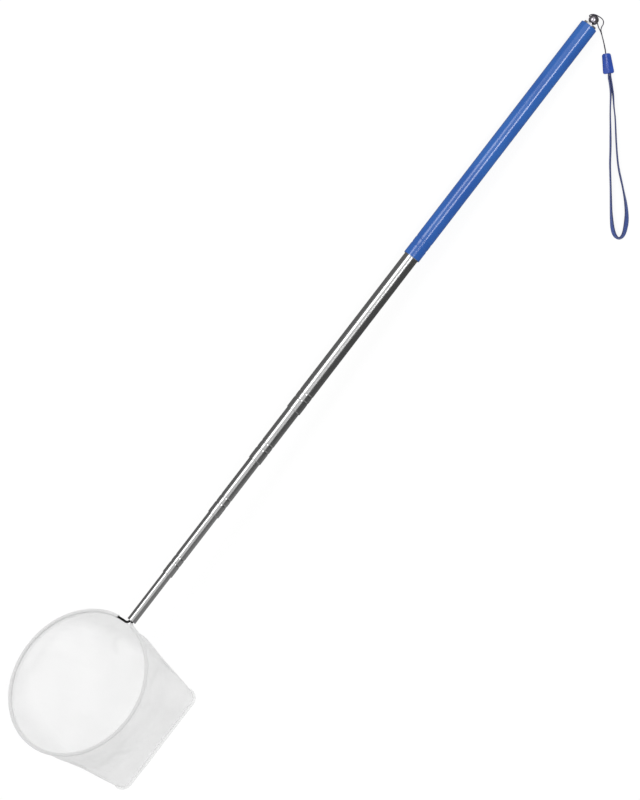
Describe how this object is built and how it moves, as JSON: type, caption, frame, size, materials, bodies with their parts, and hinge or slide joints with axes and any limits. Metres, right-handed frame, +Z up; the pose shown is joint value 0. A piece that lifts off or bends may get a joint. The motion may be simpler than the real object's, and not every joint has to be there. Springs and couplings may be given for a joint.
{
  "type": "aquarium fish net",
  "caption": "Fine mesh scoop bag on a round tilted wire hoop, with a telescoping tube handle, a sleeved grip, a ball end and a wrist strap.",
  "frame": {"origin": "on the floor below the middle of the net's bounding box, its wrist strap left out", "axes": "+X along the pole seen from above, from the hoop to the grip; +Z up; +Y away from the bag's bottom edge"},
  "size_m": [0.7401, 0.1797, 0.078],
  "materials": {
    "sleeve": "glossy shrunk sleeve",
    "steel_tube": "polished stainless steel",
    "collar": "bright turned",
    "ball": "dark polished chrome",
    "friction_ring": "sprung sheet",
    "wire_plug": "plain",
    "wire": "dark spring wire",
    "hem": "white woven tape",
    "net": "fine translucent mesh",
    "seam": "doubled and stitched mesh",
    "cord": "thin braided cord",
    "connector": "moulded",
    "crimp": "plain",
    "webbing": "flat woven webbing"
  },
  "bodies": {
    "handle": {"grip_sleeve": "sleeve", "handle_tube": "steel_tube", "end_plug": "collar", "end_ball": "ball", "strap_cord": "cord", "strap_connector": "connector", "strap_crimp": "crimp", "strap_webbing": "webbing"},
    "ring_2": {"friction_ring_2": "friction_ring"},
    "section_2": {"tube_2": "steel_tube"},
    "ring_3": {"friction_ring_3": "friction_ring"},
    "section_3": {"tube_3": "steel_tube"},
    "ring_4": {"friction_ring_4": "friction_ring"},
    "section_4": {"tube_4": "steel_tube"},
    "ring_5": {"friction_ring_5": "friction_ring"},
    "section_5": {"tube_5": "steel_tube"},
    "ring_6": {"friction_ring_6": "friction_ring"},
    "head": {"tube_6": "steel_tube", "wire_plug": "wire_plug", "hoop_wire": "wire", "net_hem": "hem", "net_bag": "net", "bottom_seam": "seam"}
  },
  "joints": [
    {"name": "slide_2", "type": "slide", "parent": "handle", "child": "ring_2", "axis": [-0.9986, 0, 0.0522], "range_m": [-0.151, 0.0382]},
    {"name": "swivel_2", "type": "hinge", "parent": "ring_2", "child": "section_2", "pos_m": [0.18851, 0.01264, 0.01612], "axis": [0.9986, 0, -0.0522], "continuous": true},
    {"name": "slide_3", "type": "slide", "parent": "section_2", "child": "ring_3", "axis": [-0.9986, 0, 0.0522], "range_m": [-0.0467, 0.1465]},
    {"name": "swivel_3", "type": "hinge", "parent": "ring_3", "child": "section_3", "pos_m": [0.14187, 0.01264, 0.01855], "axis": [0.9986, 0, -0.0522], "continuous": true},
    {"name": "slide_4", "type": "slide", "parent": "section_3", "child": "ring_4", "axis": [-0.9986, 0, 0.0522], "range_m": [-0.0502, 0.147]},
    {"name": "swivel_4", "type": "hinge", "parent": "ring_4", "child": "section_4", "pos_m": [0.09174, 0.01264, 0.02117], "axis": [0.9986, 0, -0.0522], "continuous": true},
    {"name": "slide_5", "type": "slide", "parent": "section_4", "child": "ring_5", "axis": [-0.9986, 0, 0.0522], "range_m": [-0.0562, 0.145]},
    {"name": "swivel_5", "type": "hinge", "parent": "ring_5", "child": "section_5", "pos_m": [0.03562, 0.01264, 0.02411], "axis": [0.9986, 0, -0.0522], "continuous": true},
    {"name": "slide_6", "type": "slide", "parent": "section_5", "child": "ring_6", "axis": [-0.9986, 0, 0.0522], "range_m": [-0.0426, 0.1626]},
    {"name": "swivel_6", "type": "hinge", "parent": "ring_6", "child": "head", "pos_m": [-0.00692, 0.01264, 0.02633], "axis": [0.9986, 0, -0.0522], "continuous": true}
  ]
}
